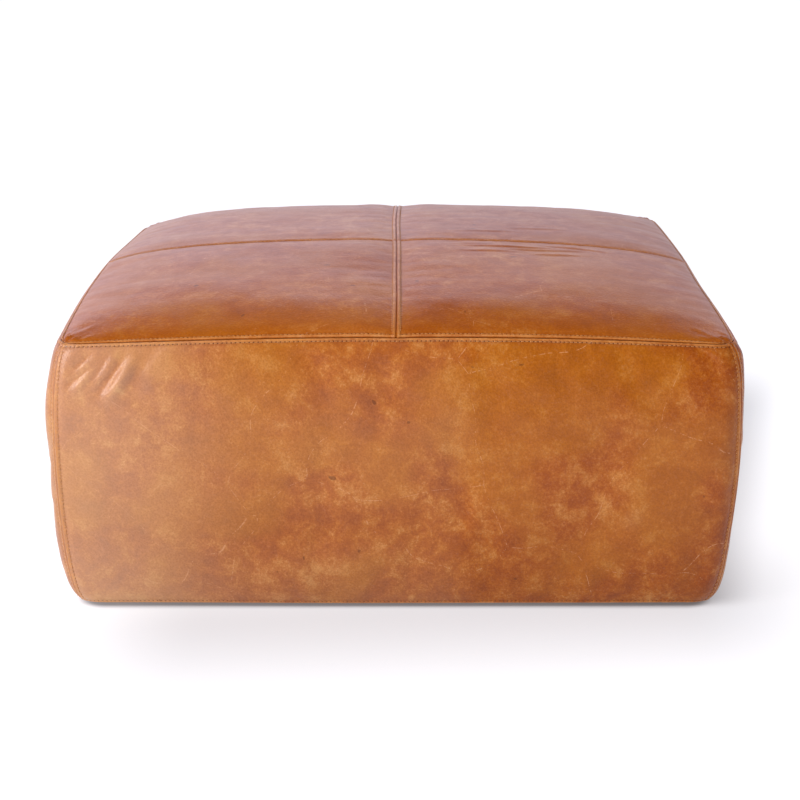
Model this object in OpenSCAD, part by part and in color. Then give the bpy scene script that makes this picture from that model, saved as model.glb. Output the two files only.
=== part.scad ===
// Square leather pouf: a zipped leather cover, sewn from ten panels, over a lined foam filling.
// Millimetres, +Z up. The origin is the centre of the underside, on the floor. The front faces -Y.

/* [Cover] */
// Width and depth of the cover at the widest, round its belly
cover_w = 810; // [700:10:1000]
// Height of the perimeter seam at the corners
seam_z = 326; // [260:2:420]
// How much higher the perimeter seam is at the middle of each side
seam_arch = 8; // [0:1:14]
// Rise of the crowned top above the perimeter seam
crown = 36; // [20:1:70]
// How far the perimeter seam lies inside the belly
seam_inset = 20; // [14:1:30]
// How far the base seam lies inside the belly
foot_inset = 32; // [30:1:50]
// Height of the base seam above the floor
foot_z = 5; // [4:0.5:8]
// Outward bow of a side panel between its corner seams
bow = 2; // [0:1:12]
// Corner radius of the cover in plan
corner_r = 28; // [24:1:60]

/* [Leather and seams] */
// Thickness of the leather
leather_t = 1.6; // [1.2:0.1:2]
// Width of the groove between two panels at a seam
seam_gap = 0.8; // [0.4:0.1:1.2]
// Thickness of the backing tape sewn behind a seam
tape_t = 0.8; // [0.5:0.1:1]
// Distance from a seam to each row of stitches
row_offset = 5; // [4:0.5:7]
// Diameter of the sewing thread
thread_d = 0.8; // [0.5:0.1:1]

/* [Zip] */
// Travel of the slider
zip_travel = 520; // [300:10:560]
// Rise of the base leather at the zip, which keeps the slider off the floor
zip_lift = 6; // [5:0.5:9]
// Length of the zip's pull tab
tab_len = 26; // [16:1:34]

/* [Filling] */
// Thickness of the fibre wadding
wadding_t = 14; // [8:1:25]
// Thickness of the softer foam layer under the crown, measured at its edge
topper_t = 40; // [25:1:80]
// Thickness of the cotton lining
lining_t = 0.8; // [0.5:0.1:1]

/* [Hidden] */

leather_colour = "peru";
thread_colour = "burlywood";
tape_colour = "dimgray";
lining_colour = "oldlace";
foam_colour = "khaki";
metal_colour = "silver";

seam_half = cover_w / 2 - seam_inset;
foot_half = cover_w / 2 - foot_inset;
belly = sqrt((foot_inset - bow) * (seam_inset - bow));    // swell that makes the cover cover_w wide
crown_flat = 2.6;                 // the higher, the flatter the top is across its middle
crown_turn = 0.56;                // the lower, the more steeply the top turns down to its seam
rim_turn = 30;                    // the higher, the narrower the rim that turns up from the floor
ridge_w = 140;                    // from the zip to where the base reaches the floor
ridge_end = 6;                    // the higher, the further along the zip the ridge keeps its height
lap = 0.4;                        // clearance between two layers that lie on each other
tape_depth = leather_t + lap;
lining_depth = 8;
wadding_depth = lining_depth + lining_t + lap;
foam_depth = wadding_depth + wadding_t + 2 * lap;
grid_step = 10;                   // degrees of sine spacing between a cover panel's grid lines
coarse_step = 18;                 // the same for the hidden layers of the filling
rows = 6;                         // grid rows up a side panel

// ---- Shape of the cover ----
// A side is described by t, from -1 to 1 between its corner seams, and v, from 0 at the base seam to 1
// at the perimeter seam. The top and base are described by s and t, from -1 to 1 across the square.
// d is the depth of a layer below the outside of the leather.

function reach(half, r) = half - r + r * PI / 4;
function arc(t, half, r) = max(0, abs(t) * reach(half, r) - (half - r)) / r * 180 / PI;
function along(t, half, r) =
    sign(t) * (arc(t, half, r) > 0 ? half - r + r * sin(arc(t, half, r)) : abs(t) * reach(half, r));
function out(t, half, r) = half - r + r * cos(arc(t, half, r)) + bow * (1 - t * t);

function side_half(v) = foot_half + (seam_half - foot_half) * v + belly * sqrt(max(0, 4 * v * (1 - v)));
function side_z(t, v) = foot_z + (seam_z + seam_arch * (1 - t * t) - foot_z) * v;
function side_point(t, v, d) =
    let (half = side_half(v) - d, r = corner_r - d)
    [along(t, half, r), -out(t, half, r), side_z(t, v)];

function plan_point(s, t, half, r) =
    let (c = along(1, half, r))
    [along(s, half, r) * out(t, half, r) / c, along(t, half, r) * out(s, half, r) / c];
function dome(s) = pow(max(0, 1 - pow(abs(s), crown_flat)), crown_turn);
function top_point(s, t, d) =
    let (p = plan_point(s, t, seam_half - d, corner_r - d))
    [p[0], p[1], seam_z + seam_arch * (1 - s * s * t * t) + (crown - d) * dome(s) * dome(t)];

// The base lies flat on the floor, turns up to the base seam at its rim, and rises to the zip.
function rim(s, t) = 1 - (1 - pow(abs(s), rim_turn)) * (1 - pow(abs(t), rim_turn));
function ridge(y) = abs(y) > ridge_w ? 0 : (1 + cos(180 * y / ridge_w)) / 2;
function rise(s, y) = zip_lift * ridge(y) * (1 - pow(abs(s), ridge_end));
function base_point(s, t, d) =
    let (p = plan_point(s, t, foot_half - d, corner_r - d), e = rim(s, t))
    [p[0], p[1], foot_z * e + (rise(s, p[1]) + d) * (1 - e)];

function mix(a, b, share) = a + (b - a) * share;
function towards(a, b, distance) = a + (b - a) * distance / norm(b - a);
function quarter_turn(p, k) = k == 0 ? p : quarter_turn([-p[1], p[0], p[2]], k - 1);
function sines(from, to, step) = [for (a = [from:step:to]) sin(a)];
function trimmed(ts, e) = [for (t = ts) max(-1 + e, min(1 - e, t))];

// ---- Closed solids from two grids of points ----

// A closed solid between two grids of points. A grid is a list of lines, and a line is a list of points.
// Which grid comes first sets which way the faces look, so a layout that runs the other way swaps them.
// With loop, the last line joins the first.
module shell(outer, inner, loop = false) {
    n = len(outer);
    m = len(outer[0]);
    points = concat([for (line = outer) for (p = line) p], [for (line = inner) for (p = line) p]);
    function o(i, j) = (i % n) * m + j;
    function b(i, j) = n * m + (i % n) * m + j;
    function quad(p, q, r, s) = [[p, q, r], [p, r, s]];
    spans = [0:1:loop ? n - 1 : n - 2];
    faces = concat(
        [for (i = spans) for (j = [0:m - 2]) each quad(o(i, j), o(i + 1, j), o(i + 1, j + 1), o(i, j + 1))],
        [for (i = spans) for (j = [0:m - 2]) each quad(b(i, j), b(i, j + 1), b(i + 1, j + 1), b(i + 1, j))],
        [for (i = spans) each quad(o(i, 0), b(i, 0), b(i + 1, 0), o(i + 1, 0))],
        [for (i = spans) each quad(o(i, m - 1), o(i + 1, m - 1), b(i + 1, m - 1), b(i, m - 1))],
        loop ? [] : [for (j = [0:m - 2]) each quad(o(0, j), o(0, j + 1), b(0, j + 1), b(0, j))],
        loop ? [] : [for (j = [0:m - 2])
            each quad(o(n - 1, j), b(n - 1, j), b(n - 1, j + 1), o(n - 1, j + 1))]
    );
    polyhedron(points, faces, convexity = 6);
}

// ---- Leather ----

half_gap = seam_gap / 2 / seam_half;
panel_ts = trimmed(sines(-90, 90, grid_step), half_gap);
quadrant_ts = [for (t = sines(0, 90, grid_step)) max(half_gap, t)];
row_vs = [for (i = [0:rows]) (1 + sin(-90 + 180 * i / rows)) / 2];
lift_gap = [0, 0, seam_gap / 2];

module side_panel(k) {
    function layer(d) = [for (t = panel_ts) [for (v = row_vs) side_point(t, v, d) - lift_gap * (2 * v - 1)]];
    rotate(90 * k) color(leather_colour) shell(layer(leather_t), layer(0));
}

module top_panel(k) {
    function layer(d) = [for (s = quadrant_ts) [for (t = quadrant_ts) top_point(s, -t, d) + lift_gap]];
    rotate(90 * k) color(leather_colour) shell(layer(0), layer(leather_t));
}

zip_len = zip_travel + 80;        // length of the zip's tapes
slot_half = 8;                    // half the width of the opening that shows the zip
slot_open = zip_travel / 2 + 26;  // from the centre to where the opening begins to close
slot_shut = zip_len / 2 - 4;      // from the centre to where it has closed
function slot(x) = abs(x) < (slot_open + slot_shut) / 2 ? slot_half : seam_gap / 2;
function at_slot(p) = [p[0], -slot(p[0]), p[2]];
function base_s(x) = x * along(1, foot_half, corner_r) / out(0, foot_half, corner_r)
    / reach(foot_half, corner_r);

// Grid lines across the zip's opening, and those beyond its ends.
least_step = 0.02;
zip_ss = concat([-base_s(slot_open)],
    [for (s = sines(-90, 90, grid_step)) if (abs(s) < base_s(slot_open) - least_step) s],
    [base_s(slot_open)]);
end_ss = [base_s(slot_shut), for (s = sines(0, 90, grid_step)) if (s > base_s(slot_shut) + least_step) s];

// The front half of the base. Its last line of points is the edge along the zip.
module base_half() {
    ts = [for (t = sines(-90, -grid_step, grid_step)) max(-1 + half_gap, t)];
    far = len(end_ss) - 1;
    ss = trimmed(concat([for (i = [far:-1:0]) -end_ss[i]], zip_ss, end_ss), half_gap);
    function line(s, d) = concat([for (t = ts) base_point(s, t, d)], [at_slot(base_point(s, 0, d))]);
    function layer(d) = [for (s = ss) line(s, d)];
    color(leather_colour) shell(layer(0), layer(leather_t));
}

// ---- Backing tapes, which follow the leather from one side of a seam to the other ----

tape_share = 0.6;                 // part of the first grid row that a tape covers
upper_tape_share = 0.8;           // the same for the narrower first row of the top
ring_ts = [for (t = sines(-90, 90 - grid_step, grid_step)) t];
in_s = cos(grid_step);            // the first grid line inside the perimeter seam
in_v = row_vs[rows - 1];          // the first grid row below the perimeter seam

module perimeter_tape() {
    function line(t, d) = [
        mix(side_point(t, 1, d), side_point(t, in_v, d), tape_share),
        side_point(t, 1, d),
        mix(side_point(t, 1, d), top_point(t, -in_s, d), upper_tape_share)
    ];
    function layer(d) = [for (k = [0:3]) for (t = ring_ts) [for (p = line(t, d)) quarter_turn(p, k)]];
    color(tape_colour) shell(layer(tape_depth + tape_t), layer(tape_depth), loop = true);
}

module base_tape() {
    function line(t, d) = [
        mix(base_point(t, -1, d), base_point(t, -in_s, d), tape_share),
        side_point(t, 0, d),
        mix(side_point(t, 0, d), side_point(t, 1 - in_v, d), tape_share)
    ];
    function layer(d) = [for (k = [0:3]) for (t = ring_ts) [for (p = line(t, d)) quarter_turn(p, k)]];
    color(tape_colour) shell(layer(tape_depth + tape_t), layer(tape_depth), loop = true);
}

module corner_tape(k) {
    ts = [cos(2 * grid_step), cos(grid_step), 1];
    function half_line(v, d) = [mix(side_point(ts[0], v, d), side_point(ts[1], v, d), 0.5),
        side_point(ts[1], v, d), side_point(1, v, d)];
    function mirrored(p) = [-p[1], -p[0], p[2]];
    function line(v, d) = let (h = half_line(v, d)) concat(h, [mirrored(h[1]), mirrored(h[0])]);
    function layer(d) = [for (i = [1:rows - 1]) line(row_vs[i], d)];
    rotate(90 * k) color(tape_colour) shell(layer(tape_depth), layer(tape_depth + tape_t));
}

tape_half = 12;                   // half the width of the tape behind a top seam

// A tape behind a top seam, along the lines of the grid named by their angles.
module top_tape(angles) {
    function edge(side, a, d) =
        towards(top_point(0, sin(a), d), top_point(side * sin(grid_step), sin(a), d), tape_half);
    function line(a, d) = [edge(1, a, d), top_point(0, sin(a), d), edge(-1, a, d)];
    function layer(d) = [for (a = angles) line(a, d)];
    color(tape_colour) shell(layer(tape_depth + tape_t), layer(tape_depth));
}

seam_angles = [-90 + grid_step + 1, for (a = [-90 + 2 * grid_step:grid_step:90 - 2 * grid_step]) a,
    90 - grid_step - 1];
side_seam_angles = [3, for (a = [grid_step:grid_step:90 - 2 * grid_step]) a, 90 - grid_step - 1];

// ---- Stitching: one continuous line of thread for each row ----

thread_lift = 0.25;               // clearance between the thread and the leather
thread_depths = [-thread_lift - thread_d, -thread_lift];
row_edges = [row_offset, row_offset + thread_d];

module top_thread(side, angles) {
    function line(a, d) = [for (w = row_edges)
        towards(top_point(0, sin(a), d), top_point(side * sin(grid_step), sin(a), d), w) + lift_gap];
    function layer(d) = [for (a = angles) line(a, d)];
    d = side > 0 ? thread_depths : [thread_depths[1], thread_depths[0]];
    color(thread_colour) shell(layer(d[0]), layer(d[1]));
}

module lower_perimeter_thread() {
    function line(t, d) = [for (w = row_edges) towards(side_point(t, 1, d), side_point(t, in_v, d), w)];
    function layer(d) = [for (k = [0:3]) for (t = ring_ts) [for (p = line(t, d)) quarter_turn(p, k)]];
    color(thread_colour) shell(layer(thread_depths[0]), layer(thread_depths[1]), loop = true);
}

module upper_perimeter_thread() {
    function line(t, d) = [for (w = [row_edges[1], row_edges[0]])
        towards(side_point(t, 1, d), top_point(t * in_s, -in_s, d), w) + lift_gap];
    function layer(d) = [for (k = [0:3]) for (t = ring_ts) [for (p = line(t, d)) quarter_turn(p, k)]];
    color(thread_colour) shell(layer(thread_depths[0]), layer(thread_depths[1]), loop = true);
}

module corner_thread(side) {
    function line(v, d) = [for (w = row_edges)
        towards(side_point(side, v, d), side_point(side * cos(grid_step), v, d), w)];
    function layer(d) = [for (i = [1:rows - 1]) line(row_vs[i], d)];
    d = side > 0 ? [thread_depths[1], thread_depths[0]] : thread_depths;
    color(thread_colour) shell(layer(d[0]), layer(d[1]));
}

// ---- Zip, which lies in the raised middle of the base ----

tape_z = zip_lift + leather_t + lap;      // underside of the zip's tapes
zip_tape_w = 15;
zip_tape_t = 0.6;
coil_w = 2.6;
coil_h = 2.4;
coil_gap = 1.2;                   // between the two coils, where the slider's post runs
coil_z = tape_z - coil_h;
coil_len = zip_travel + 40;
stop_x = coil_len / 2 + 4;        // from the zip's middle to the middle of a stop
bottom_stop = [6, 2 * coil_w + coil_gap + 0.6];
top_stop = [5, coil_w];
slider_len = 13;
slider_w = 9;
tail_cut = 1;                     // bevel at the slider's closed end
nose_cut = [3, 2.5];              // bevel at the open end, where the two coils part
plate_t = 0.9;
rim_w = 0.7;                      // thickness of the slider's side rims
post_len = 3;
play = 0.3;                       // between the slider and what it slides on
slider_x = zip_travel / 2;        // middle of the slider with the zip closed
outer_plate_z = coil_z - play - plate_t;
inner_plate_z = tape_z + zip_tape_t + play;
bridge_h = 2.6;
bridge_w = 1.6;
bar_h = 0.7;                      // thickness of the bridge's bar
leg_x = 2.6;                      // from the pivot to the middle of each leg of the bridge
leg_t = 1;
pivot_r = 0.6;
pivot_x = slider_x - 1;
pivot_z = outer_plate_z - (bridge_h - bar_h) / 2;
tab_w = 7;
tab_t = 1.1;
tab_window = [4.4, bridge_w + 0.8];       // reach from the pivot, and width, of the hole for the bridge
tab_hole_r = 1.6;
tab_hole_inset = 4;               // from the tab's end to the middle of its hole
guard_w = 50;
guard_t = 0.8;
guard_z = inner_plate_z + plate_t + 0.8;

module zip_tape(side) {
    y = side > 0 ? coil_gap / 2 : -coil_gap / 2 - zip_tape_w;
    color(tape_colour) translate([-zip_len / 2, y, tape_z]) cube([zip_len, zip_tape_w, zip_tape_t]);
}

module zip_coil(side) {
    y = side > 0 ? coil_gap / 2 : -coil_gap / 2 - coil_w;
    color("black") translate([-coil_len / 2, y, coil_z]) cube([coil_len, coil_w, coil_h]);
}

module end_stop(x, y, size) {
    color(metal_colour) translate([x, y, coil_z + coil_h / 2])
        cube([size[0], size[1], coil_h], center = true);
}

// The arch that holds the pull tab: two legs and a bar below them.
module bridge() {
    for (end = [-1, 1])
        translate([pivot_x + end * leg_x - leg_t / 2, -bridge_w / 2, outer_plate_z - bridge_h])
            cube([leg_t, bridge_w, bridge_h]);
    translate([pivot_x - leg_x - leg_t / 2, -bridge_w / 2, outer_plate_z - bridge_h])
        cube([2 * leg_x + leg_t, bridge_w, bar_h]);
}

module slider_plate(z) {
    l = slider_len / 2;
    w = slider_w / 2;
    near = [[-l, -w + tail_cut], [-l + tail_cut, -w], [l - nose_cut[0], -w], [l, -w + nose_cut[1]]];
    far = [for (i = [3:-1:0]) [near[i][0], -near[i][1]]];
    translate([slider_x, 0, z]) linear_extrude(plate_t) polygon(concat(near, far));
}

module slider_post() {
    post_w = coil_gap - 2 * play;
    z = outer_plate_z + plate_t;
    translate([slider_x + slider_len / 2 - tail_cut - post_len, -post_w / 2, z])
        cube([post_len, post_w, inner_plate_z - z]);
}

module slider_rims() {
    rim_len = slider_len - tail_cut - nose_cut[0];
    for (y = [-slider_w / 2, slider_w / 2 - rim_w])
        translate([slider_x - slider_len / 2 + tail_cut, y, outer_plate_z])
            cube([rim_len, rim_w, tape_z - play - outer_plate_z]);
}

module zip_slider() {
    color(metal_colour) {
        slider_plate(outer_plate_z);
        slider_plate(inner_plate_z);
        slider_post();
        slider_rims();
        bridge();
    }
}

module tab_plate() {
    window = tab_window[1];
    difference() {
        translate([-tab_len, -tab_w / 2, -tab_t / 2]) cube([tab_len, tab_w, tab_t]);
        translate([-tab_window[0], -window / 2, -tab_t]) cube([tab_window[0] + tab_t, window, 2 * tab_t]);
        translate([-tab_len + tab_hole_inset, 0, -tab_t]) cylinder(r = tab_hole_r, h = 2 * tab_t, $fn = 32);
    }
}

// The pin runs through the slider's bridge and carries the plate on both sides of it.
module zip_pull_tab() {
    color(metal_colour) translate([pivot_x, 0, pivot_z]) {
        tab_plate();
        rotate([90, 0, 0]) cylinder(r = pivot_r, h = tab_w, center = true, $fn = 24);
    }
}

module zip_guard() {
    color(tape_colour) translate([-zip_len / 2, -guard_w / 2, guard_z]) cube([zip_len, guard_w, guard_t]);
}

zip_row_offset = 4;               // from the edge of the opening to the row of stitches beside it

// A row of thread each side of the zip, on the underside of the base leather.
module zip_stitching() {
    function line(s, d) = [for (w = [zip_row_offset, zip_row_offset + thread_d])
        towards(at_slot(base_point(s, 0, d)), base_point(s, -sin(grid_step), d), w)];
    function layer(d) = [for (s = zip_ss) line(s, d)];
    for (k = [0, 2]) rotate(90 * k)
        color(thread_colour) shell(layer(thread_depths[1]), layer(thread_depths[0]));
}

// ---- Filling ----

coarse_ts = sines(-90, 90, coarse_step);
coarse_ring = sines(-90, 90 - coarse_step, coarse_step);

// A layer over the top, between two depths.
module top_layer(d_outer, d_inner, colour) {
    function layer(d) = [for (s = coarse_ts) [for (t = coarse_ts) top_point(s, t, d) + lift_gap]];
    color(colour) shell(layer(d_inner), layer(d_outer));
}

band_vs = [0.05, 0.16, 0.5, 0.84, 0.99];  // heights of a band's grid rows, as shares of a side panel

// A band round the sides, between two depths.
module side_band(d_outer, d_inner, colour) {
    function line(t, d) = [for (v = band_vs) side_point(t, v, d)];
    function layer(d) = [for (k = [0:3]) for (t = coarse_ring) [for (p = line(t, d)) quarter_turn(p, k)]];
    color(colour) shell(layer(d_inner), layer(d_outer), loop = true);
}

module rounded_block(half, r, z0, z1, colour) {
    color(colour) translate([0, 0, z0]) linear_extrude(z1 - z0) {
        square([2 * half, 2 * (half - r)], center = true);
        square([2 * (half - r), 2 * half], center = true);
        for (x = [-1, 1]) for (y = [-1, 1]) translate([x * (half - r), y * (half - r)]) circle(r, $fn = 48);
    }
}

lining_base_z = guard_z + guard_t + 1.4;
core_z = lining_base_z + lining_t + lap;
core_top = seam_z - topper_t;
core_half = foot_half - foam_depth;

module foam_topper() {
    function top() = [for (s = coarse_ts) [for (t = coarse_ts) top_point(s, t, foam_depth)]];
    function bottom() = [for (line = top()) [for (p = line) [p[0], p[1], core_top + lap]]];
    color(foam_colour) shell(bottom(), top());
}

top_panel(0);  // top_panel_front_right
top_panel(1);  // top_panel_back_right
top_panel(2);  // top_panel_back_left
top_panel(3);  // top_panel_front_left
side_panel(0);  // front_panel
side_panel(1);  // right_panel
side_panel(2);  // back_panel
side_panel(3);  // left_panel
base_half();  // base_panel_front
rotate(180) base_half();  // base_panel_back
top_tape(seam_angles);  // seam_tape_top_front_back
rotate(90) top_tape(side_seam_angles);  // seam_tape_top_left
rotate(-90) top_tape(side_seam_angles);  // seam_tape_top_right
perimeter_tape();  // seam_tape_perimeter
base_tape();  // seam_tape_base
corner_tape(0);  // corner_tape_front_right
corner_tape(1);  // corner_tape_back_right
corner_tape(2);  // corner_tape_back_left
corner_tape(3);  // corner_tape_front_left
for (side = [-1, 1]) top_thread(side, seam_angles);  // stitching_top_front_back
for (turn = [-90, 90]) for (side = [-1, 1]) rotate(turn) top_thread(side, side_seam_angles);  // stitching_top_left_right
upper_perimeter_thread();  // stitching_perimeter_upper
lower_perimeter_thread();  // stitching_perimeter_lower
for (k = [0:3]) for (side = [-1, 1]) rotate(90 * k) corner_thread(side);  // stitching_corners
zip_stitching();  // stitching_zip
zip_tape(-1);  // zip_tape_front
zip_tape(1);  // zip_tape_back
zip_coil(-1);  // zip_coil_front
zip_coil(1);  // zip_coil_back
end_stop(-stop_x, 0, bottom_stop);  // zip_bottom_stop
for (side = [-1, 1])  // zip_top_stops
    end_stop(stop_x, side * (coil_gap + coil_w) / 2, top_stop);
zip_slider();
zip_pull_tab();
zip_guard();
top_layer(lining_depth, lining_depth + lining_t, lining_colour);  // lining_top
side_band(lining_depth, lining_depth + lining_t, lining_colour);  // lining_band
rounded_block(foot_half - lining_depth, corner_r, lining_base_z, lining_base_z + lining_t, lining_colour);  // lining_base
top_layer(wadding_depth, wadding_depth + wadding_t, "white");  // wadding_top
side_band(wadding_depth, wadding_depth + wadding_t, "white");  // wadding_band
foam_topper();
rounded_block(core_half, corner_r, core_z, core_top, foam_colour);  // foam_core
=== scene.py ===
"""Looks of the square leather pouf: its leather panels, seams, stitching, zip and filling.

Metres, +Z up, the front faces -Y. The cover repeats the formulas of the CAD model, because this script
reads no other file. Every soft piece is built as grids of points, so that a seam, a stitch or a fold can be
placed by its distance from the edges of its panel.
"""

import math

import bmesh
import bpy
import numpy as np
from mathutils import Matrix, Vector


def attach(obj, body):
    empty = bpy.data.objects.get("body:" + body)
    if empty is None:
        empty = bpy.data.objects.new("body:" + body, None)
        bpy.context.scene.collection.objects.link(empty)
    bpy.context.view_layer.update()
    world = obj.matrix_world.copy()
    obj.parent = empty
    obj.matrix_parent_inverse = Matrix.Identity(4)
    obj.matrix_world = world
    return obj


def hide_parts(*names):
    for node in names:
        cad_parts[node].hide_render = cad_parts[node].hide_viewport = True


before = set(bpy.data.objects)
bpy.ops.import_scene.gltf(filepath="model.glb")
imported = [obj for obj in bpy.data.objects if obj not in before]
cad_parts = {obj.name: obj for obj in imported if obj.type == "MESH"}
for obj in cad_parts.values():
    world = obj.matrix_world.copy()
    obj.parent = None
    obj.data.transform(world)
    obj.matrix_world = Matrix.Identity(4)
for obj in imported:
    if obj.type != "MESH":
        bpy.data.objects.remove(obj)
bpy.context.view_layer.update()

# ---- Dimensions shared with the CAD model ----

MM = 0.001
COVER_W = 810 * MM
SEAM_Z = 326 * MM
SEAM_ARCH = 8 * MM
CROWN = 36 * MM
SEAM_INSET = 20 * MM
FOOT_INSET = 32 * MM
FOOT_Z = 5 * MM
BOW = 2 * MM
CORNER_R = 28 * MM
LEATHER_T = 1.6 * MM
ROW_OFFSET = 5 * MM
STITCH_PITCH = 5 * MM
THREAD_D = 0.8 * MM
ZIP_TRAVEL = 520 * MM
ZIP_LIFT = 6 * MM
WADDING_T = 14 * MM
TOPPER_T = 40 * MM
LINING_T = 0.8 * MM
LAP = 0.4 * MM
TAPE_T = 0.8 * MM
CROWN_FLAT = 2.6
CROWN_TURN = 0.56
RIM_TURN = 30
RIDGE_W = 140 * MM
RIDGE_END = 6

SEAM_HALF = COVER_W / 2 - SEAM_INSET
FOOT_HALF = COVER_W / 2 - FOOT_INSET
BELLY = math.sqrt((FOOT_INSET - BOW) * (SEAM_INSET - BOW))
LINING_DEPTH = 8 * MM
WADDING_DEPTH = LINING_DEPTH + LINING_T + LAP
FOAM_DEPTH = WADDING_DEPTH + WADDING_T + 2 * LAP
CORE_TOP = SEAM_Z - TOPPER_T

# ---- Shape of the cover, as in the CAD model ----


def reach(half, r):
    return half - r + r * math.pi / 4


def arc(t, half, r):
    return np.maximum(0, np.abs(t) * reach(half, r) - (half - r)) / r


def along(t, half, r):
    a = arc(t, half, r)
    return np.sign(t) * np.where(a > 0, half - r + r * np.sin(a), np.abs(t) * reach(half, r))


def out(t, half, r):
    return half - r + r * np.cos(arc(t, half, r)) + BOW * (1 - t * t)


def side_point(t, v, d=0.0):
    """A point of the front side, t across it from -1 to 1, v up it from 0 to 1, d below the surface."""
    swell = BELLY * np.sqrt(np.maximum(0, 4 * v * (1 - v)))
    half = FOOT_HALF + (SEAM_HALF - FOOT_HALF) * v + swell - d
    r = CORNER_R - d
    z = FOOT_Z + (SEAM_Z + SEAM_ARCH * (1 - t * t) - FOOT_Z) * v
    return np.stack([along(t, half, r), -out(t, half, r), z], -1)


def plan_point(s, t, half, r):
    c = along(np.float64(1), half, r)
    return along(s, half, r) * out(t, half, r) / c, along(t, half, r) * out(s, half, r) / c


def dome(s):
    return np.maximum(0, 1 - np.abs(s) ** CROWN_FLAT) ** CROWN_TURN


def top_point(s, t, d=0.0):
    x, y = plan_point(s, t, SEAM_HALF - d, CORNER_R - d)
    return np.stack([x, y, SEAM_Z + SEAM_ARCH * (1 - s * s * t * t) + (CROWN - d) * dome(s) * dome(t)], -1)


def base_point(s, t, d=0.0):
    x, y = plan_point(s, t, FOOT_HALF - d, CORNER_R - d)
    rim = 1 - (1 - np.abs(s) ** RIM_TURN) * (1 - np.abs(t) ** RIM_TURN)
    ridge = np.where(np.abs(y) > RIDGE_W, 0, (1 + np.cos(math.pi * y / RIDGE_W)) / 2)
    rise = ZIP_LIFT * ridge * (1 - np.abs(s) ** RIDGE_END)
    return np.stack([x, y, FOOT_Z * rim + (rise + d) * (1 - rim)], -1)


def turned(p, quarters):
    """Points turned about the vertical axis by quarter turns."""
    for _ in range(quarters % 4):
        p = np.stack([-p[..., 1], p[..., 0], p[..., 2]], -1)
    return p


def smooth(x, lo, hi):
    """0 below lo, 1 above hi, smooth between."""
    u = np.clip((x - lo) / (hi - lo), 0, 1)
    return u * u * (3 - 2 * u)


# ---- What use has done to the cover: it leans, one shoulder has slumped, nothing is quite straight ----

LEAN = 0.010
LEAN_Z = 150 * MM
WIDER = 0.005
SLUMP_IN = 9 * MM
SLUMP_FORWARD = 2.7 * MM
SLUMP_DOWN = 15 * MM
SLUMP_REACH = 0.38
SLUMP_SHARPNESS = 5
CORNER_DOWN = 5 * MM
VALLEY = 2.4 * MM
VALLEY_W = 22 * MM
CROSS_VALLEY = 0.12
CROWN_START = 25 * MM
UNEVEN = 0.8 * MM
UNEVEN_LENGTH = 0.3
SLIP = 5.5 * MM

# A zone has a pair for each of x, y and z: where it starts and where it is full. None leaves that axis free.
SLUMP_ZONE = ((-0.25, -0.39), (-0.15, 0.25), (0.2, 0.3))
FALL_ZONE = (None, (-0.05, 0.38), (0.1, 0.33))
REAR_RIGHT_ZONE = ((0.27, 0.4), (0.15, 0.4), (0.2, 0.33))
# What has moved to the right, or with a minus to the left, by how much and in which zone.
SIDEWAYS = [
    (SLUMP_IN, SLUMP_ZONE),
    (-5 * MM, ((0.2, 0.39), (-0.38, -0.1), (0.15, 0.3))),
    (6 * MM, ((0.15, 0.37), None, (0.11, 0.0))),
    (-2.2 * MM, ((-0.2, -0.39), (-0.05, -0.4), None)),
    (3.5 * MM, ((0.2, 0.39), (-0.05, -0.4), (0.22, 0.33))),
]


def waves(p, length, seed, count=9):
    """A smooth random field of about -1 to 1 whose bumps are about length across."""
    rng = np.random.default_rng(seed)
    total = np.zeros(p.shape[:-1])
    for _ in range(count):
        k = rng.normal(size=3)
        k *= 2 * math.pi / (length * rng.uniform(0.75, 1.5)) / np.linalg.norm(k)
        total += np.sin(p @ k + rng.uniform(0, 2 * math.pi))
    return total / math.sqrt(count)


def zone(p, spans):
    """The share, from 0 to 1, by which points lie in a zone."""
    share = 1.0
    for axis, span in enumerate(spans):
        if span:
            share = share * smooth(p[..., axis], *span)
    return share


def settled(p):
    """Points of the new cover, moved to where they lie on the used one."""
    x, y, z = p[..., 0], p[..., 1], p[..., 2]
    uneven_x, uneven_y, uneven_z = (UNEVEN * waves(p, UNEVEN_LENGTH, seed) for seed in (1, 2, 3))
    fallen = np.clip(-x / SLUMP_REACH, 0, 1) ** SLUMP_SHARPNESS * zone(p, FALL_ZONE)
    valley = np.exp(-((x / VALLEY_W) ** 2)) + CROSS_VALLEY * np.exp(-((y / VALLEY_W) ** 2))
    dx = WIDER * x + LEAN * (z - LEAN_Z) + uneven_x
    for shift, place in SIDEWAYS:
        dx = dx + shift * zone(p, place)
    dy = uneven_y - SLUMP_FORWARD * zone(p, SLUMP_ZONE)
    dz = uneven_z * smooth(z, 0.05, 0.25) - SLUMP_DOWN * fallen - CORNER_DOWN * zone(p, REAR_RIGHT_ZONE)
    dz = dz - VALLEY * valley * smooth(z, SEAM_Z, SEAM_Z + CROWN_START)
    return p + np.stack([dx, dy, dz], -1)


# ---- Meshes ----


def merge_doubles(mesh, flat=None):
    """Merges points that coincide and, where flat gives an angle, faces that lie in one plane."""
    work = bmesh.new()
    work.from_mesh(mesh)
    bmesh.ops.remove_doubles(work, verts=work.verts, dist=0.001 * MM)
    if flat:
        bmesh.ops.dissolve_limit(work, angle_limit=flat, verts=work.verts, edges=work.edges)
    work.to_mesh(mesh)
    work.free()


def linked(name, data):
    """A new object in the scene."""
    obj = bpy.data.objects.new(name, data)
    bpy.context.scene.collection.objects.link(obj)
    return obj


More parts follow.
